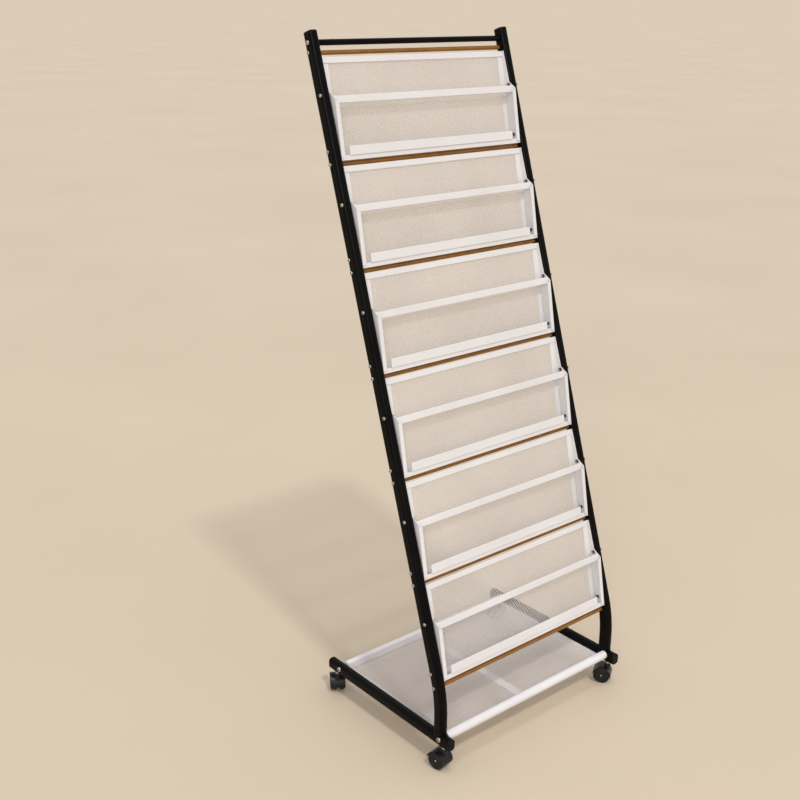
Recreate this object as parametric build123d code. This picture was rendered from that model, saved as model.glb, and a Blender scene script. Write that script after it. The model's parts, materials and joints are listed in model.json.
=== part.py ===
from build123d import *
import os
from math import cos, radians, sin

# A newspaper rack on casters: two leaning posts carry six mesh pockets above a mesh base shelf.
# Millimetres. +Z is up, +X is to the rack's left-to-right, -Y is its front.

# Posts and foot rails, both steel tube with well-rounded corners
POST_INNER_X = 246.5
POST_WIDTH = 20.0
POST_DEPTH = 28.0
TUBE_CORNER = 8.0
TUBE_WALL = 1.5
LEAN = 18.3
POST_FOOT_Y = -200.4
BEND_Z = 161.2
BEND_RADIUS = 300.0
POST_TOP = 1344.0
FOOT_HEIGHT = 26.0
FOOT_BOTTOM_Z = 53.3
FOOT_FRONT_Y = -231.8
FOOT_REAR_Y = 166.1
CAP_THICK = 3.5
CAP_PLUG = 12.0
CAP_GAP = 0.15

# Bars between the posts
CROSSBAR_TUBE = 12.0
CROSSBAR_AT = 1325.5
TIE_ROD = 9.0
TIE_ROD_DEPTH = 5.0
TIE_ROD_BELOW_FLOOR = 4.8
LOWEST_TIE_ROD_BELOW_FLOOR = 9.7
TOP_TIE_ROD_ABOVE_FLOOR = 212.0
BAR_WALL = 1.5
BAR_PLUG = 20.0

# Pockets: heights run along the lean from the pocket's floor, depths run back from the post's centre line
POCKETS = 6
FIRST_FLOOR = 33.5
POCKET_PITCH = 212.3
POCKET_HEIGHT = 201.5
SHEET = 1.5
FRONT_AT_FLOOR = -8.5
FRONT_AT_STEP = -24.0
STEP_LOW = 116.0
STEP_HIGH = 133.0
NECK_AT_STEP = -9.0
NECK_AT_TOP = -8.0
BACK_AT_FLOOR = 17.5
BACK_AT_TOP = -1.5
FRONT_FLANGE = 9.0
REAR_FLANGE = 16.0
FRONT_RAIL_TOP = 123.0
FRONT_RAIL_HEIGHT = 14.0
FRONT_RAIL_DEPTH = 6.0
FRONT_RAIL_INSET = 6.0
TOP_RAIL_HEIGHT = 12.0
TOP_RAIL_DEPTH = 3.0
TRAY_BACK = 16.0
TRAY_FRONT = 26.5
TRAY_LIP = 9.5
TRAY_NOTCH = 20.0
LIP_INSET = 2.5
PANEL_THICK = 0.6
PANEL_EDGE = 4.0
FIT_GAP = 0.2
PLATE_CORNER = 2.5

# Fasteners
M4 = 4.0
M4_HOLE = 4.3
M5 = 5.0
M5_HOLE = 5.3
M6 = 6.0
M6_HOLE = 6.4
UPPER_SCREW = (-7.0, 127.0)
LOWER_SCREW = (5.0, 20.5)
NUT_THICK = 3.2
NUT_HALF = 3.5

# Base shelf
SHELF_Z = 70.5
SHELF_TUBE = 19.0
SHELF_TUBE_Y = -207.8
SHELF_RAIL_Y = 128.0
SHELF_RAIL_DEPTH = 13.0
SHELF_RAIL_HEIGHT = 22.0
SHELF_MESH_Z = 64.5
SIDE_STRIP = 14.0
STRIP_THICK = 3.0
STRUT_X = -11.5
STRUT_WIDTH = 20.0
STRUT_HEIGHT = 8.0

# Casters: twin wheels behind a swivel stem
WHEEL_RADIUS = 19.0
WHEEL_WIDTH = 13.0
WHEEL_GAP = 0.5
FIN_THICK = 6.0
FIN_RADIUS = 15.0
HOOD_INNER = 19.7
HOOD_OUTER = 21.3
HOOD_TILT = 12.0
TRAIL = 11.0
AXLE = 5.0
RUNNING_GAP = 0.05
STEM = 7.0
STEM_COLLAR = 13.0
STEM_COLLAR_THICK = 4.0
STEM_THREAD = 12.0
BOSS = 14.0
BOSS_LOW = 27.0
BOSS_TOP = 45.5
BORE_LOW = 38.0
CASTERS = {
    "left_front": (-1, -213.0, 8.0),
    "right_front": (1, -213.0, 33.0),
    "left_rear": (-1, 148.0, -33.0),
    "right_rear": (1, 148.0, -8.0),
}

POST_X = POST_INNER_X + POST_WIDTH / 2
WEB_INNER_X = POST_INNER_X - SHEET
RAIL_HALF = WEB_INNER_X - FIT_GAP
FOOT_TOP_Z = FOOT_BOTTOM_Z + FOOT_HEIGHT
SIDES = {"left": -1, "right": 1}


def on_lean(depth, height):
    """Y and Z of a point on the leaning part: depth behind the post's centre line, height along it."""
    tilt = radians(LEAN)
    y = POST_FOOT_Y + height * sin(tilt) + depth * cos(tilt)
    z = BEND_Z + height * cos(tilt) - depth * sin(tilt)
    return y, z


def leaning(shape, height):
    """Moves a shape drawn upright about the origin to a height along the leaning posts."""
    y, z = on_lean(0, height)
    return Pos(0, y, z) * Rot(-LEAN, 0, 0) * shape


def pocket_floor(index):
    return FIRST_FLOOR + index * POCKET_PITCH


def along_x(radius, start, end, y=0.0, z=0.0):
    """A round bar along X."""
    middle = (start + end) / 2
    return Pos(middle, y, z) * Rot(0, 90, 0) * Cylinder(radius, abs(end - start))


def side_profile(points, start, end):
    """A (depth, height) outline extruded along X from start to end."""
    corners = [(0, depth, height) for depth, height in points]
    outline = make_face(Polyline(*corners, close=True))
    return Pos(start, 0, 0) * extrude(outline, amount=end - start, dir=(1, 0, 0))


def tube_section(depth, wall):
    """The rounded section of a post or foot rail; a wall of zero gives it filled."""
    outer = RectangleRounded(depth, POST_WIDTH, TUBE_CORNER)
    if not wall:
        return outer
    return outer - RectangleRounded(depth - 2 * wall, POST_WIDTH - 2 * wall, TUBE_CORNER - wall)


# Frame


def foot_section_at(y, wall):
    plane = Plane(origin=(0, y, FOOT_BOTTOM_Z + FOOT_HEIGHT / 2), x_dir=(0, 0, 1), z_dir=(0, 1, 0))
    return plane * tube_section(FOOT_HEIGHT, wall)


def foot_rail(side):
    length = FOOT_REAR_Y - FOOT_FRONT_Y
    rail = extrude(foot_section_at(FOOT_FRONT_Y, TUBE_WALL), amount=length, dir=(0, 1, 0))
    for name_side, stem_y, _ in CASTERS.values():
        if name_side == side:
            rail -= Pos(0, stem_y, FOOT_BOTTOM_Z) * Cylinder(STEM / 2 + 0.1, 4 * TUBE_WALL)
    for bolt_y in (SHELF_TUBE_Y, SHELF_RAIL_Y):
        rail -= along_x(M6_HOLE / 2, -POST_WIDTH, POST_WIDTH, bolt_y, SHELF_Z)
    return Pos(side * POST_X, 0, 0) * rail


def post_path():
    top_y, top_z = on_lean(0, POST_TOP)
    foot_z = FOOT_TOP_Z - POST_WIDTH / 2
    points = [(0, POST_FOOT_Y, foot_z), (0, POST_FOOT_Y, BEND_Z), (0, top_y, top_z)]
    return FilletPolyline(*points, radius=BEND_RADIUS)


def post_holes():
    """Every cross-hole through a post: two screws for each pocket, the tie rods and the crossbar."""
    holes = []
    for index in range(POCKETS):
        for depth, height in (UPPER_SCREW, LOWER_SCREW):
            holes.append((M4_HOLE, depth, pocket_floor(index) + height))
    holes += [(M4_HOLE, TIE_ROD_DEPTH, height) for height in tie_rod_heights()]
    holes.append((M5_HOLE, 0.0, CROSSBAR_AT))
    return holes


def post(side):
    foot = Plane(origin=(0, POST_FOOT_Y, FOOT_TOP_Z - POST_WIDTH / 2), x_dir=(0, 1, 0), z_dir=(0, 0, 1))
    tube = sweep(foot * tube_section(POST_DEPTH, TUBE_WALL), path=post_path())
    length = FOOT_REAR_Y - FOOT_FRONT_Y
    tube -= extrude(foot_section_at(FOOT_FRONT_Y, 0), amount=length, dir=(0, 1, 0))
    for diameter, depth, height in post_holes():
        y, z = on_lean(depth, height)
        tube -= along_x(diameter / 2, -POST_WIDTH, POST_WIDTH, y, z)
    return Pos(side * POST_X, 0, 0) * tube


def end_cap(depth):
    """A domed plastic cap drawn with its plug down and its head above Z = 0."""
    head = extrude(tube_section(depth, 0), amount=CAP_THICK)
    head = fillet(head.edges().group_by(Axis.Z)[-1], CAP_THICK - 1)
    inset = TUBE_WALL + CAP_GAP
    plug = RectangleRounded(depth - 2 * inset, POST_WIDTH - 2 * inset, TUBE_CORNER - inset)
    return head + extrude(plug, amount=-CAP_PLUG)


def post_end_caps():
    cap = leaning(Rot(0, 0, 90) * end_cap(POST_DEPTH), POST_TOP)
    return [Pos(side * POST_X, 0, 0) * cap for side in SIDES.values()]


def foot_end_caps():
    caps = []
    middle_z = FOOT_BOTTOM_Z + FOOT_HEIGHT / 2
    upright = Rot(0, 0, 90) * end_cap(FOOT_HEIGHT)
    for side in SIDES.values():
        caps.append(Pos(side * POST_X, FOOT_FRONT_Y, middle_z) * Rot(90, 0, 0) * upright)
        caps.append(Pos(side * POST_X, FOOT_REAR_Y, middle_z) * Rot(-90, 0, 0) * upright)
    return caps


def tie_rod_heights():
    """One rod under the floor of each pocket and one above the top pocket."""
    lowest = pocket_floor(0) - LOWEST_TIE_ROD_BELOW_FLOOR
    top = pocket_floor(POCKETS - 1) + TOP_TIE_ROD_ABOVE_FLOOR
    return [lowest] + [pocket_floor(index) - TIE_ROD_BELOW_FLOOR for index in range(1, POCKETS)] + [top]


def bar_between_posts(diameter, tapped, half=POST_INNER_X):
    """A tube with a tapped plug welded in each end."""
    bar = along_x(diameter / 2, -half, half)
    bar -= along_x(diameter / 2 - BAR_WALL, -half + BAR_PLUG, half - BAR_PLUG)
    for side in SIDES.values():
        bar -= along_x(tapped / 2, side * half, side * (half - BAR_PLUG + 2))
    return bar


def tie_rods():
    rod = Pos(0, TIE_ROD_DEPTH, 0) * bar_between_posts(TIE_ROD, M4)
    return [leaning(rod, height) for height in tie_rod_heights()]


# Pockets


def front_depth(height):
    share = height / STEP_LOW
    return FRONT_AT_FLOOR + (FRONT_AT_STEP - FRONT_AT_FLOOR) * share


def front_rail_depth(height):
    return front_depth(height) + FRONT_RAIL_INSET


def back_depth(height):
    share = height / POCKET_HEIGHT
    return BACK_AT_FLOOR + (BACK_AT_TOP - BACK_AT_FLOOR) * share


def strip_outline(line, low, high, thick):
    """A strip of sheet that follows a sloping line, from height low to high; thick goes towards +depth."""
    return [(line(low), low), (line(low) + thick, low), (line(high) + thick, high), (line(high), high)]


def side_plate(side):
    """Bent sheet: a stepped web against the post, a narrow front flange and a wider rear flange."""
    outline = [
        (FRONT_AT_FLOOR, 0),
        (FRONT_AT_STEP, STEP_LOW),
        (NECK_AT_STEP, STEP_HIGH),
        (NECK_AT_TOP, POCKET_HEIGHT),
        (back_depth(POCKET_HEIGHT), POCKET_HEIGHT),
        (BACK_AT_FLOOR, 0),
    ]
    web = side_profile(outline, WEB_INNER_X, POST_INNER_X)
    step_edges = web.edges().filter_by(Axis.X).filter_by_position(Axis.Z, STEP_LOW - 1, STEP_HIGH + 1)
    web = fillet(step_edges, PLATE_CORNER)
    front = strip_outline(front_depth, 2 * PLATE_CORNER, STEP_LOW - 2 * PLATE_CORNER, SHEET)
    rear = strip_outline(back_depth, TRAY_BACK + FIT_GAP, POCKET_HEIGHT - TOP_RAIL_HEIGHT - 0.5, -SHEET)
    plate = web + side_profile(front, WEB_INNER_X - FRONT_FLANGE + SHEET, WEB_INNER_X + SHEET / 2)
    plate += side_profile(rear, WEB_INNER_X - REAR_FLANGE + SHEET, WEB_INNER_X + SHEET / 2)
    for depth, height in (UPPER_SCREW, LOWER_SCREW):
        plate -= along_x(M4_HOLE / 2, WEB_INNER_X - 1, POST_INNER_X + 1, depth, height)
    return plate if side > 0 else mirror(plate, about=Plane.YZ)


def pocket_rails():
    """Front rail, top rail and the folded floor tray. The tray's front bar stops short of its ends,
    so that the lower screws can be reached."""
    front_low = FRONT_RAIL_TOP - FRONT_RAIL_HEIGHT
    front = strip_outline(front_rail_depth, front_low, FRONT_RAIL_TOP, FRONT_RAIL_DEPTH)
    top = strip_outline(back_depth, POCKET_HEIGHT - TOP_RAIL_HEIGHT, POCKET_HEIGHT, -TOP_RAIL_DEPTH)
    low_bar = strip_outline(front_depth, TRAY_LIP - 1, TRAY_FRONT, LIP_INSET + SHEET)
    tray = [
        (FRONT_AT_FLOOR + LIP_INSET, 0),
        (front_depth(TRAY_LIP) + LIP_INSET, TRAY_LIP),
        (front_depth(TRAY_LIP) + LIP_INSET + SHEET, TRAY_LIP),
        (front_depth(SHEET) + LIP_INSET + SHEET, SHEET),
        (back_depth(SHEET) - SHEET, SHEET),
        (back_depth(TRAY_BACK) - SHEET, TRAY_BACK),
        (back_depth(TRAY_BACK), TRAY_BACK),
        (BACK_AT_FLOOR, 0),
    ]
    bars = [side_profile(outline, -RAIL_HALF, RAIL_HALF) for outline in (front, top)]
    bars.append(side_profile(low_bar, -RAIL_HALF + TRAY_NOTCH, RAIL_HALF - TRAY_NOTCH))
    front_rail, top_rail, tray_bar = [fillet(bar.edges().filter_by(Axis.X), 0.9) for bar in bars]
    return [front_rail, top_rail, side_profile(tray, -RAIL_HALF, RAIL_HALF) + tray_bar]


def pocket_panel():
    low = PANEL_EDGE
    high = POCKET_HEIGHT - PANEL_EDGE
    outline = strip_outline(back_depth, low, high, PANEL_THICK)
    return side_profile(outline, -RAIL_HALF + 2, RAIL_HALF - 2)


# Fasteners


def pan_screw(diameter, head, length):
    """A pan-head screw along +X: its head ends at X = 0 and its shank runs to X = length."""
    head_high = 0.35 * head
    shape = Pos(-head_high / 2, 0, 0) * Rot(0, 90, 0) * Cylinder(head / 2, head_high)
    shape = fillet(shape.edges().group_by(Axis.X)[0], 0.6 * head_high)
    slot = Box(head_high, 0.13 * head, 0.62 * head)
    shape -= Pos(-head_high, 0, 0) * slot
    shape -= Pos(-head_high, 0, 0) * Rot(90, 0, 0) * slot
    return shape + along_x(diameter / 2, -head_high / 2, length)


def at_both_posts(shape, depth, height):
    """Puts a fastener drawn along +X on the outer face of each post, pointing inwards."""
    y, z = on_lean(depth, height)
    left = Pos(-POST_INNER_X - POST_WIDTH, y, z) * shape
    return [left, mirror(left, about=Plane.YZ)]


def pocket_screws():
    screw = pan_screw(M4, 7.5, POST_WIDTH + SHEET + NUT_THICK + 1)
    solids = []
    for index in range(POCKETS):
        for depth, height in (UPPER_SCREW, LOWER_SCREW):
            solids += at_both_posts(screw, depth, pocket_floor(index) + height)
    return solids


def pocket_nuts():
    outline = RegularPolygon(NUT_HALF, 6, major_radius=False) - Circle(M4 / 2)
    nut = Pos(POST_WIDTH + SHEET, 0, 0) * Rot(0, 90, 0) * extrude(outline, amount=NUT_THICK)
    solids = []
    for index in range(POCKETS):
        for depth, height in (UPPER_SCREW, LOWER_SCREW):
            solids += at_both_posts(nut, depth, pocket_floor(index) + height)
    return solids


def tie_rod_screws():
    screw = pan_screw(M4, 7.5, POST_WIDTH + 12)
    solids = []
    for height in tie_rod_heights():
        solids += at_both_posts(screw, TIE_ROD_DEPTH, height)
    return solids


def crossbar_screws():
    return at_both_posts(pan_screw(M5, 9.5, POST_WIDTH + 14), 0.0, CROSSBAR_AT)


def shelf_bolts():
    bolt = pan_screw(M6, 11.0, POST_WIDTH + 14)
    solids = []
    for y in (SHELF_TUBE_Y, SHELF_RAIL_Y):
        left = Pos(-POST_INNER_X - POST_WIDTH, y, SHELF_Z) * bolt
        solids += [left, mirror(left, about=Plane.YZ)]
    return solids


# Base shelf


def shelf_front_tube():
    return Pos(0, SHELF_TUBE_Y, SHELF_Z) * bar_between_posts(SHELF_TUBE, M6)


def shelf_rear_rail():
    half = POST_INNER_X
    bar = Box(2 * half, SHELF_RAIL_DEPTH, SHELF_RAIL_HEIGHT)
    bar = fillet(bar.edges().filter_by(Axis.X), 2.5)
    hollow = Box(2 * (half - BAR_PLUG), SHELF_RAIL_DEPTH - 2 * BAR_WALL, SHELF_RAIL_HEIGHT - 2 * BAR_WALL)
    bar -= hollow
    for side in SIDES.values():
        bar -= along_x(M6 / 2, side * half, side * (half - BAR_PLUG + 2))
    return Pos(0, SHELF_RAIL_Y, SHELF_Z) * bar


def shelf_span():
    """Y where the shelf's mesh and bars start and end, between its tube and its rail."""
    start = SHELF_TUBE_Y + SHELF_TUBE / 2 + FIT_GAP
    return start, SHELF_RAIL_Y - SHELF_RAIL_DEPTH / 2


def shelf_bar(centre_x, width, height):
    start, end = shelf_span()
    middle_z = SHELF_MESH_Z - height / 2
    bar = Pos(centre_x, (start + end) / 2, middle_z) * Box(width, end - start, height)
    return fillet(bar.edges().filter_by(Axis.Y), 0.8)


def shelf_side_strips():
    centre = POST_INNER_X - FIT_GAP - SIDE_STRIP / 2
    return [shelf_bar(side * centre, SIDE_STRIP, STRIP_THICK) for side in SIDES.values()]


def shelf_strut():
    return shelf_bar(STRUT_X, STRUT_WIDTH, STRUT_HEIGHT)


def shelf_mesh():
    start, end = shelf_span()
    width = 2 * (POST_INNER_X - 2)
    return Pos(0, (start + end) / 2, SHELF_MESH_Z + PANEL_THICK / 2) * Box(width, end - start, PANEL_THICK)


# Casters, drawn with the stem on Z and the wheels' axle along X, behind the stem


def axle_at(shape):
    return Pos(0, TRAIL, WHEEL_RADIUS) * shape


def caster_hood():
    half = FIN_THICK / 2 + WHEEL_GAP + WHEEL_WIDTH + 0.4
    shell = along_x(HOOD_OUTER, -half, half) - along_x(HOOD_INNER, -half, half)
    below = Pos(0, 0, -HOOD_OUTER) * Box(3 * half, 3 * HOOD_OUTER, 2 * HOOD_OUTER)
    shell -= Rot(HOOD_TILT, 0, 0) * below
    fin = along_x(FIN_RADIUS, -FIN_THICK / 2, FIN_THICK / 2)
    neck = Pos(0, 0, (HOOD_OUTER - 1) / 2) * Box(FIN_THICK, 2 * FIN_RADIUS, HOOD_OUTER - 1)
    neck &= along_x(HOOD_OUTER, -FIN_THICK, FIN_THICK)
    body = axle_at(shell + fin + neck - along_x(AXLE / 2 + 0.01, -half, half))
    boss = Pos(0, 0, (BOSS_LOW + BOSS_TOP) / 2) * Cylinder(BOSS / 2, BOSS_TOP - BOSS_LOW)
    boss = fillet(boss.edges().group_by(Axis.Z)[-1], 2.0)
    right_room = along_x(HOOD_INNER, FIN_THICK / 2, 2 * half)
    left_room = along_x(HOOD_INNER, -2 * half, -FIN_THICK / 2)
    body += boss - axle_at(right_room + left_room)
    bore = Pos(0, 0, (BORE_LOW + BOSS_TOP) / 2) * Cylinder(STEM / 2 + RUNNING_GAP, BOSS_TOP - BORE_LOW)
    return body - bore


def caster_stem():
    pin_low = BORE_LOW + 0.5
    collar_low = FOOT_BOTTOM_Z - STEM_COLLAR_THICK
    pin = Pos(0, 0, (pin_low + collar_low) / 2) * Cylinder(STEM / 2, collar_low - pin_low)
    pin = chamfer(pin.edges().group_by(Axis.Z)[0], 1.0)
    collar = Pos(0, 0, collar_low + STEM_COLLAR_THICK / 2) * Cylinder(STEM_COLLAR / 2, STEM_COLLAR_THICK)
    collar = fillet(collar.edges().group_by(Axis.Z)[0], 1.0)
    thread = Pos(0, 0, FOOT_BOTTOM_Z + STEM_THREAD / 2) * Cylinder(STEM / 2, STEM_THREAD)
    return pin + collar + thread


def caster_axle():
    half = FIN_THICK / 2 + WHEEL_GAP + WHEEL_WIDTH - 2
    pin = along_x(AXLE / 2, -half, half)
    return axle_at(chamfer(pin.edges().filter_by(GeomType.CIRCLE), 0.6))


def caster_wheel(side):
    """A moulded wheel: rounded tread, a dished outer face with concentric rings, and a plain bore."""
    inner = FIN_THICK / 2 + WHEEL_GAP
    outer = inner + WHEEL_WIDTH
    profile = Polyline(
        (inner, AXLE / 2 + RUNNING_GAP),
        (outer - 2.0, AXLE / 2 + RUNNING_GAP),
        (outer - 2.0, 4.0),
        (outer - 0.6, 4.4),
        (outer - 0.6, 6.0),
        (outer - 1.8, 6.6),
        (outer - 1.8, 9.4),
        (outer - 0.7, 10.0),
        (outer - 0.7, 11.8),
        (outer - 1.6, 12.4),
        (outer - 1.6, 14.8),
        (outer, 15.6),
        (outer - 0.6, WHEEL_RADIUS - 1.6),
        (outer - 2.4, WHEEL_RADIUS),
        (inner + 1.2, WHEEL_RADIUS),
        (inner, WHEEL_RADIUS - 1.2),
        close=True,
    )
    wheel = revolve(make_face(profile), axis=Axis.X)
    wheel = axle_at(wheel)
    return wheel if side > 0 else mirror(wheel, about=Plane.YZ)


def place_caster(name, shape):
    side, stem_y, yaw = CASTERS[name]
    return Pos(side * POST_X, stem_y, 0) * Rot(0, 0, yaw) * shape


def all_nodes():
    nodes = {
        "post_end_caps": post_end_caps(),
        "foot_end_caps": foot_end_caps(),
        "top_crossbar": leaning(bar_between_posts(CROSSBAR_TUBE, M5), CROSSBAR_AT),
        "tie_rods": tie_rods(),
        "pocket_screws": pocket_screws(),
        "pocket_nuts": pocket_nuts(),
        "tie_rod_screws": tie_rod_screws(),
        "crossbar_screws": crossbar_screws(),
        "shelf_bolts": shelf_bolts(),
        "shelf_front_tube": shelf_front_tube(),
        "shelf_rear_rail": shelf_rear_rail(),
        "shelf_side_strips": shelf_side_strips(),
        "shelf_strut": shelf_strut(),
        "shelf_mesh": shelf_mesh(),
        "caster_stems": [place_caster(name, caster_stem()) for name in CASTERS],
    }
    for name, side in SIDES.items():
        nodes[f"{name}_post"] = post(side)
        nodes[f"{name}_foot_rail"] = foot_rail(side)
    for index in range(POCKETS):
        pocket = f"pocket_{index + 1}"
        floor = pocket_floor(index)
        for name, side in SIDES.items():
            nodes[f"{pocket}_{name}_plate"] = leaning(side_plate(side), floor)
        nodes[f"{pocket}_rails"] = [leaning(bar, floor) for bar in pocket_rails()]
        nodes[f"{pocket}_mesh"] = leaning(pocket_panel(), floor)
    for name in CASTERS:
        nodes[f"{name}_caster_hood"] = place_caster(name, caster_hood())
        nodes[f"{name}_caster_axle"] = place_caster(name, caster_axle())
        for wheel_name, side in SIDES.items():
            nodes[f"{name}_caster_{wheel_name}_wheel"] = place_caster(name, caster_wheel(side))
    return nodes


os.makedirs("parts", exist_ok=True)
for node, shape in all_nodes().items():
    solids = shape if isinstance(shape, list) else [shape]
    whole = Compound(children=[solid for piece in solids for solid in piece.solids()])
    export_step(whole, f"parts/{node}.step")
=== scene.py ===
import json
import math

import bpy
from mathutils import Matrix, Vector


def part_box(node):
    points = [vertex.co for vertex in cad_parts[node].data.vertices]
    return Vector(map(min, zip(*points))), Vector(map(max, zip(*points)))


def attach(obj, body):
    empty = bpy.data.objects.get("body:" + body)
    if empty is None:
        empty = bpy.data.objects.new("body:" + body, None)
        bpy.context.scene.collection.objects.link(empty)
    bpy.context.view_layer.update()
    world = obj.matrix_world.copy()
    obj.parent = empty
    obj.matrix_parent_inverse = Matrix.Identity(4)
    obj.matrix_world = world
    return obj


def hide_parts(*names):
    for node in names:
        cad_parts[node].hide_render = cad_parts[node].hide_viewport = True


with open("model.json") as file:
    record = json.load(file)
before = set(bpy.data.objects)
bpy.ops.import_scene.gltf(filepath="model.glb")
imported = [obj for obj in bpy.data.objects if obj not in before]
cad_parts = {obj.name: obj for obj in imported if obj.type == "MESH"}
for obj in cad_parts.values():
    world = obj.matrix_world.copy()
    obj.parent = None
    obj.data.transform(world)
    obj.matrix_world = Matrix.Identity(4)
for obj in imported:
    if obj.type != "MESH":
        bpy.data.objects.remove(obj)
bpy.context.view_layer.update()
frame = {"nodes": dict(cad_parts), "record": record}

# Diamond mesh of the pockets and the base shelf, in metres
DIAMOND_WIDE = 0.0052
DIAMOND_HIGH = 0.0080
STRAND_WIDE = 0.0011
STRAND_THICK = 0.0006
STRAND_TWIST = math.radians(12)
PANEL_MARGIN = 0.0005

POCKETS = 6

# The camera stands in front of the rack, to its left, a little above its top.
# The heading is measured from the rack's back (+Y) towards its right (+X)
CAMERA_AT = Vector((-1.6312, -1.6781, 1.5208))
CAMERA_HEADING = math.radians(40.332)
CAMERA_PITCH = math.radians(-19.569)
CAMERA_ROLL = math.radians(0.727)
CAMERA_LENS = 52.15
CAMERA_SENSOR = 36.0
CAMERA_NEAR = 0.05
CAMERA_FAR = 2000.0

# The floor runs on until it meets the sky, as seen from any side
FLOOR_REACH = 900.0

# Colours of the light
SKY_WHITE = (0.97, 0.97, 1.0)
SUN_WHITE = (1.0, 0.98, 0.96)
FILL_WHITE = (1.0, 0.99, 0.98)
STRIP_WHITE = (1.0, 0.99, 0.97)
SKY_STRENGTH = 0.80


# Node helpers


def new_material(name):
    """A material with a Principled shader. Returns both, then what adds a node and what links."""
    material = bpy.data.materials.new(name)
    material.use_nodes = True
    tree = material.node_tree
    shader = tree.nodes["Principled BSDF"]

    def add(kind, **inputs):
        node = tree.nodes.new(kind)
        for key, value in inputs.items():
            node.inputs[key.replace("_", " ")].default_value = value
        return node

    return material, shader, add, tree.links.new


def noise(add, link, place, scale, detail=4.0, roughness=0.55):
    """A noise texture in the piece's own coordinates. The scale is in waves per metre."""
    node = add("ShaderNodeTexNoise", Scale=scale, Detail=detail, Roughness=roughness)
    link(place.outputs["Object"], node.inputs["Vector"])
    return node


def rgba(colour):
    """A grey level or three numbers as red, green, blue and alpha."""
    if isinstance(colour, (int, float)):
        return (colour, colour, colour, 1.0)
    return (*colour, 1.0)


def ramp(add, link, texture, low, high, start=0.3, stop=0.7):
    """Runs from the colour low, where the texture is at start, to the colour high, where it is at stop."""
    node = add("ShaderNodeValToRGB")
    first, last = node.color_ramp.elements
    first.position, first.color = start, rgba(low)
    last.position, last.color = stop, rgba(high)
    link(texture.outputs["Fac"], node.inputs["Fac"])
    return node.outputs["Color"]


def bump(add, link, shader, *layers):
    """Chains one Bump node for each layer, which is (texture, strength, distance in metres)."""
    before = None
    for texture, strength, distance in layers:
        node = add("ShaderNodeBump", Strength=strength, Distance=distance)
        link(texture.outputs["Fac"], node.inputs["Height"])
        if before:
            link(before.outputs["Normal"], node.inputs["Normal"])
        before = node
    link(before.outputs["Normal"], shader.inputs["Normal"])


# Materials


def black_gloss_paint():
    """Gloss paint on tube: a slow drift of tone, faint orange peel, and smudges in the gloss."""
    material, shader, add, link = new_material("black_gloss_paint")
    place = add("ShaderNodeTexCoord")
    cloud = noise(add, link, place, scale=9.0, detail=5.0)
    peel = noise(add, link, place, scale=420.0, detail=2.0)
    smudge = noise(add, link, place, scale=38.0, detail=6.0, roughness=0.65)
    low, high = (0.0020, 0.0016, 0.0015), (0.0045, 0.0038, 0.0036)
    link(ramp(add, link, cloud, low, high), shader.inputs["Base Color"])
    link(ramp(add, link, smudge, 0.16, 0.27, start=0.35, stop=0.75), shader.inputs["Roughness"])
    shader.inputs["Specular IOR Level"].default_value = 0.06
    bump(add, link, shader, (peel, 0.06, 0.0004))
    return material


def black_cap_plastic():
    """Satin moulded plastic of the end caps, with a fine grain."""
    material, shader, add, link = new_material("black_cap_plastic")
    place = add("ShaderNodeTexCoord")
    grain = noise(add, link, place, scale=1500.0, detail=3.0)
    cloud = noise(add, link, place, scale=60.0)
    link(ramp(add, link, cloud, 0.003, 0.007), shader.inputs["Base Color"])
    link(ramp(add, link, cloud, 0.36, 0.46), shader.inputs["Roughness"])
    shader.inputs["Specular IOR Level"].default_value = 0.1
    bump(add, link, shader, (grain, 0.12, 0.0002))
    return material


def powder_coat(name, low, high, roughness):
    """Satin powder coat: a slow drift from low to high, over fine orange peel and grain."""
    material, shader, add, link = new_material(name)
    place = add("ShaderNodeTexCoord")
    drift = noise(add, link, place, scale=6.0)
    peel = noise(add, link, place, scale=900.0, detail=2.0)
    grain = noise(add, link, place, scale=2600.0, detail=2.0)
    link(ramp(add, link, drift, low, high), shader.inputs["Base Color"])
    link(ramp(add, link, drift, roughness - 0.05, roughness + 0.07), shader.inputs["Roughness"])
    bump(add, link, shader, (peel, 0.10, 0.0003), (grain, 0.06, 0.0001))
    return material


def bronze_coat():
    """Brown lacquer of the tie rods, slightly uneven."""
    material, shader, add, link = new_material("bronze_coat")
    place = add("ShaderNodeTexCoord")
    cloud = noise(add, link, place, scale=45.0, detail=5.0)
    grain = noise(add, link, place, scale=1100.0, detail=2.0)
    low, high = (0.20, 0.078, 0.010), (0.28, 0.118, 0.020)
    link(ramp(add, link, cloud, low, high), shader.inputs["Base Color"])
    link(ramp(add, link, cloud, 0.34, 0.46), shader.inputs["Roughness"])
    shader.inputs["Specular IOR Level"].default_value = 0.3
    bump(add, link, shader, (grain, 0.10, 0.0002))
    return material


def plated(name, low, high, roughness):
    """Bright or dark plating on a fastener, with the mottle of a zinc bath and a fine roughness."""
    material, shader, add, link = new_material(name)
    place = add("ShaderNodeTexCoord")
    mottle = noise(add, link, place, scale=320.0, detail=5.0)
    marks = noise(add, link, place, scale=1800.0, detail=2.0)
    link(ramp(add, link, mottle, low, high), shader.inputs["Base Color"])
    link(ramp(add, link, mottle, roughness - 0.06, roughness + 0.08), shader.inputs["Roughness"])
    shader.inputs["Metallic"].default_value = 1.0
    bump(add, link, shader, (marks, 0.08, 0.0001))
    return material


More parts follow.
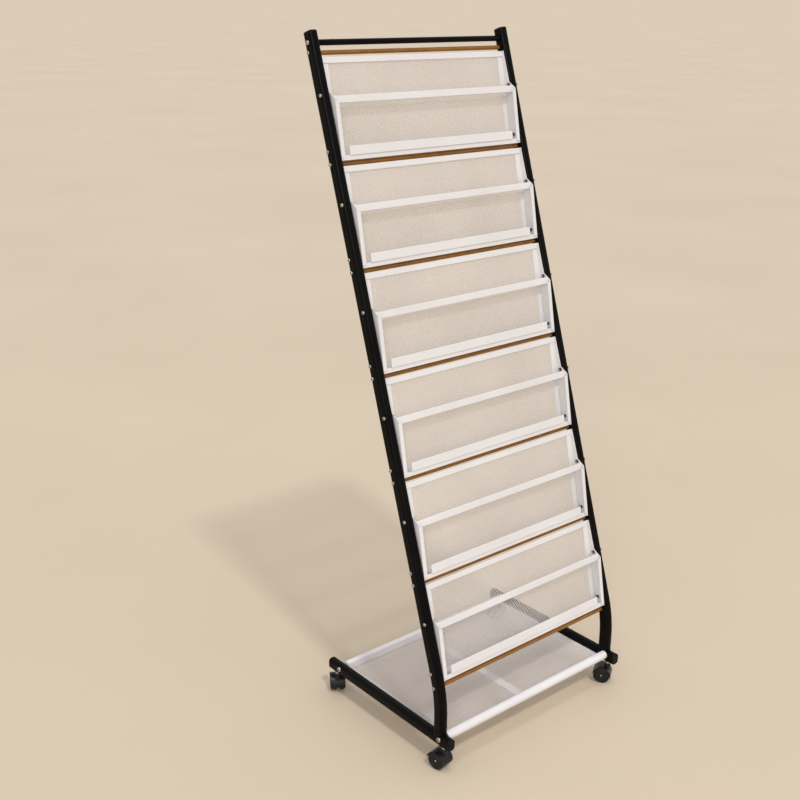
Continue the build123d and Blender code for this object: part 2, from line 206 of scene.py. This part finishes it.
def moulded_nylon(name, low, high, roughness):
    """Black nylon of the casters: paler and duller where it is scuffed, with a moulded grain."""
    material, shader, add, link = new_material(name)
    place = add("ShaderNodeTexCoord")
    scuff = noise(add, link, place, scale=130.0, detail=6.0, roughness=0.65)
    grain = noise(add, link, place, scale=2000.0, detail=3.0)
    tone = ramp(add, link, scuff, low, high, start=0.35, stop=0.75)
    link(tone, shader.inputs["Base Color"])
    dullness = ramp(add, link, scuff, roughness, roughness + 0.15, start=0.35, stop=0.75)
    link(dullness, shader.inputs["Roughness"])
    shader.inputs["Specular IOR Level"].default_value = 0.3
    bump(add, link, shader, (grain, 0.12, 0.0002), (scuff, 0.05, 0.0003))
    return material


def pale_floor():
    material, shader, add, link = new_material("pale_floor")
    place = add("ShaderNodeTexCoord")
    drift = noise(add, link, place, scale=0.7, detail=3.0)
    low, high = (0.565, 0.470, 0.350), (0.600, 0.500, 0.375)
    link(ramp(add, link, drift, low, high), shader.inputs["Base Color"])
    shader.inputs["Roughness"].default_value = 0.65
    shader.inputs["Specular IOR Level"].default_value = 0.25
    return material


# The material of each slot in the record
MATERIALS = {
    "black_gloss": black_gloss_paint(),
    "black_cap": black_cap_plastic(),
    "white_powder": powder_coat(
        "white_powder_coat", low=(0.67, 0.65, 0.645), high=(0.73, 0.71, 0.705), roughness=0.42
    ),
    # The mesh strands carry the same white powder coat as the frames; their darker base colour is painted
    # shade for the steeper strand faces lying in shadow
    "white_mesh": powder_coat(
        "white_mesh_coat_painted_shade", low=(0.57, 0.525, 0.505), high=(0.65, 0.605, 0.58), roughness=0.55
    ),
    "bronze_rod": bronze_coat(),
    "zinc": plated("bright_zinc", low=(0.38, 0.35, 0.31), high=(0.54, 0.51, 0.46), roughness=0.32),
    "dark_steel": plated("dark_nut_steel", low=(0.07, 0.065, 0.06), high=(0.13, 0.12, 0.11), roughness=0.4),
    "caster_hood": moulded_nylon("hood_nylon", low=0.004, high=0.010, roughness=0.26),
    "caster_wheel": moulded_nylon("wheel_nylon", low=0.006, high=0.015, roughness=0.38),
}


def paint_frame():
    """Gives every CAD node the material of its slot."""
    for part in frame["record"]["subparts"]:
        node = frame["nodes"][part["node"]]
        node.data.materials.clear()
        node.data.materials.append(MATERIALS[part["material_slot"]])


# Diamond mesh


def clip_to_panel(start, step, wide, high):
    """Where a line from start along step crosses a panel from (0, 0) to (wide, high), or None."""
    low, top = 0.0, math.inf
    for place, move, limit in ((start.x, step.x, wide), (start.y, step.y, high)):
        enter, leave = sorted(((0.0 - place) / move, (limit - place) / move))
        low, top = max(low, enter), min(top, leave)
    if top - low < STRAND_WIDE:
        return None
    return start + step * low, start + step * top


def strand_lines(wide, high):
    """Both families of strands of a panel, as (start, end, family) in the panel's own plane.

    A strand of family 1 rises to the right, and one of family -1 rises to the left."""
    rise = DIAMOND_HIGH / DIAMOND_WIDE
    reach = high / rise
    lines = []
    for family in (1, -1):
        step = Vector((family, rise)).normalized()
        first = -reach if family > 0 else 0.0
        count = int((wide + reach) / DIAMOND_WIDE) + 1
        for index in range(count + 1):
            ends = clip_to_panel(Vector((first + index * DIAMOND_WIDE, 0.0)), step, wide, high)
            if ends:
                lines.append((*ends, family))
    return lines


def mesh_panel(name, node, corner, across, up, body):
    """Replaces a flat CAD panel by a diamond mesh of crossing strands, bound by its four edges.

    The panel starts at corner and runs along the vectors across and up."""
    wide, high = across.length, up.length
    axis_x, axis_y = across.normalized(), up.normalized()
    facing = axis_x.cross(axis_y)
    vertices, faces = [], []

    def strand(start, end, twist):
        """A flat bar from start to end in the panel's plane, turned about its own length by twist."""
        along = (end - start).normalized()
        side = Vector((-along.y, along.x))
        edge = axis_x * side.x + axis_y * side.y
        half_wide = (edge * math.cos(twist) + facing * math.sin(twist)) * STRAND_WIDE / 2
        half_thick = (facing * math.cos(twist) - edge * math.sin(twist)) * STRAND_THICK / 2
        base = len(vertices)
        for point in (start, end):
            centre = corner + axis_x * point.x + axis_y * point.y
            for out, through in ((-1, -1), (1, -1), (1, 1), (-1, 1)):
                vertices.append(centre + half_wide * out + half_thick * through)
        for a, b in ((0, 1), (1, 2), (2, 3), (3, 0)):
            faces.append((base + a, base + b, base + b + 4, base + a + 4))
        faces.append((base + 3, base + 2, base + 1, base))
        faces.append((base + 4, base + 5, base + 6, base + 7))

    inner = PANEL_MARGIN + STRAND_WIDE / 2
    shift = Vector((inner, inner))
    for start, end, family in strand_lines(wide - 2 * inner, high - 2 * inner):
        strand(start + shift, end + shift, STRAND_TWIST * family)
    left, right, bottom, top = inner, wide - inner, inner, high - inner
    corners = [Vector(place) for place in ((left, bottom), (right, bottom), (right, top), (left, top))]
    for start, end in zip(corners, corners[1:] + corners[:1]):
        strand(start, end, twist=0.0)

    data = bpy.data.meshes.new(name)
    data.from_pydata([tuple(vertex) for vertex in vertices], [], faces)
    data.update()
    piece = bpy.data.objects.new(name, data)
    bpy.context.scene.collection.objects.link(piece)
    # The mesh coat is darker than the frames' white: painted shade on the strands
    data.materials.append(MATERIALS["white_mesh"])
    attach(piece, body)
    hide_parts(node)


def pocket_mesh(number):
    low, top = (Vector(corner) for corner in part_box(f"pocket_{number}_mesh"))
    across = Vector((top.x - low.x, 0, 0))
    up = Vector((0, top.y - low.y, top.z - low.z))
    mesh_panel(f"pocket_{number}_diamond_mesh", f"pocket_{number}_mesh", low, across, up, "rack")


def shelf_mesh():
    low, top = (Vector(corner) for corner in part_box("shelf_mesh"))
    middle = (low.z + top.z) / 2
    corner = Vector((low.x, low.y, middle))
    across = Vector((top.x - low.x, 0, 0))
    up = Vector((0, top.y - low.y, 0))
    mesh_panel("shelf_diamond_mesh", "shelf_mesh", corner, across, up, "rack")


# Studio


def floor():
    data = bpy.data.meshes.new("floor")
    corners = [(x * FLOOR_REACH, y * FLOOR_REACH, 0) for x, y in ((-1, -1), (1, -1), (1, 1), (-1, 1))]
    data.from_pydata(corners, [], [(0, 1, 2, 3)])
    piece = bpy.data.objects.new("floor", data)
    bpy.context.scene.collection.objects.link(piece)
    data.materials.append(pale_floor())


def area_light(name, at, aim, size, power, colour):
    """A rectangle of light, size metres wide and high, with its power in watts."""
    data = bpy.data.lights.new(name, "AREA")
    data.shape = "RECTANGLE"
    data.size, data.size_y = size
    data.energy = power
    data.color = colour
    light = bpy.data.objects.new(name, data)
    light.location = at
    light.rotation_euler = (Vector(aim) - Vector(at)).to_track_quat("-Z", "Y").to_euler()
    bpy.context.scene.collection.objects.link(light)


def sun_light(name, heading, height, spread, strength, colour):
    """A soft distant light. The angles are in degrees.

    It comes from heading, measured from the rack's front round to its left, at height above the floor."""
    data = bpy.data.lights.new(name, "SUN")
    data.energy = strength
    data.angle = math.radians(spread)
    data.color = colour
    light = bpy.data.objects.new(name, data)
    light.rotation_euler = (math.radians(90 - height), 0, math.radians(-heading))
    bpy.context.scene.collection.objects.link(light)


def studio():
    world = bpy.data.worlds.new("studio")
    bpy.context.scene.world = world
    world.use_nodes = True
    back = world.node_tree.nodes["Background"]
    back.inputs["Color"].default_value = rgba(SKY_WHITE)
    back.inputs["Strength"].default_value = SKY_STRENGTH
    sun_light("front_overhead_sun", heading=14.0, height=57.0, spread=5.0, strength=1.05, colour=SUN_WHITE)
    sun_light("overhead_sun", heading=0.0, height=86.0, spread=10.0, strength=0.25, colour=SUN_WHITE)
    sun_light("camera_side_fill", heading=52.0, height=24.0, spread=16.0, strength=0.55, colour=FILL_WHITE)
    area_light(
        "camera_side_strip",
        at=(-2.3, -2.2, 1.3),
        aim=(0, 0, 0.9),
        size=(0.35, 2.2),
        power=11.0,
        colour=STRIP_WHITE,
    )


def camera():
    data = bpy.data.cameras.new("camera")
    data.sensor_width = CAMERA_SENSOR
    data.lens = CAMERA_LENS
    data.clip_start = CAMERA_NEAR
    data.clip_end = CAMERA_FAR
    piece = bpy.data.objects.new("camera", data)
    heading, pitch, roll = CAMERA_HEADING, CAMERA_PITCH, CAMERA_ROLL
    level = math.cos(pitch)
    forward = Vector((math.sin(heading) * level, math.cos(heading) * level, math.sin(pitch)))
    right = Vector((math.cos(heading), -math.sin(heading), 0.0))
    up = right.cross(forward)
    rolled_right = right * math.cos(roll) + up * math.sin(roll)
    rolled_up = up * math.cos(roll) - right * math.sin(roll)
    turn = Matrix((rolled_right, rolled_up, -forward)).transposed()
    piece.matrix_world = Matrix.Translation(CAMERA_AT) @ turn.to_4x4()
    bpy.context.scene.collection.objects.link(piece)
    bpy.context.scene.camera = piece


paint_frame()
for number in range(1, POCKETS + 1):
    pocket_mesh(number)
shelf_mesh()
floor()
studio()
camera()
bpy.context.scene.view_settings.view_transform = "Standard"
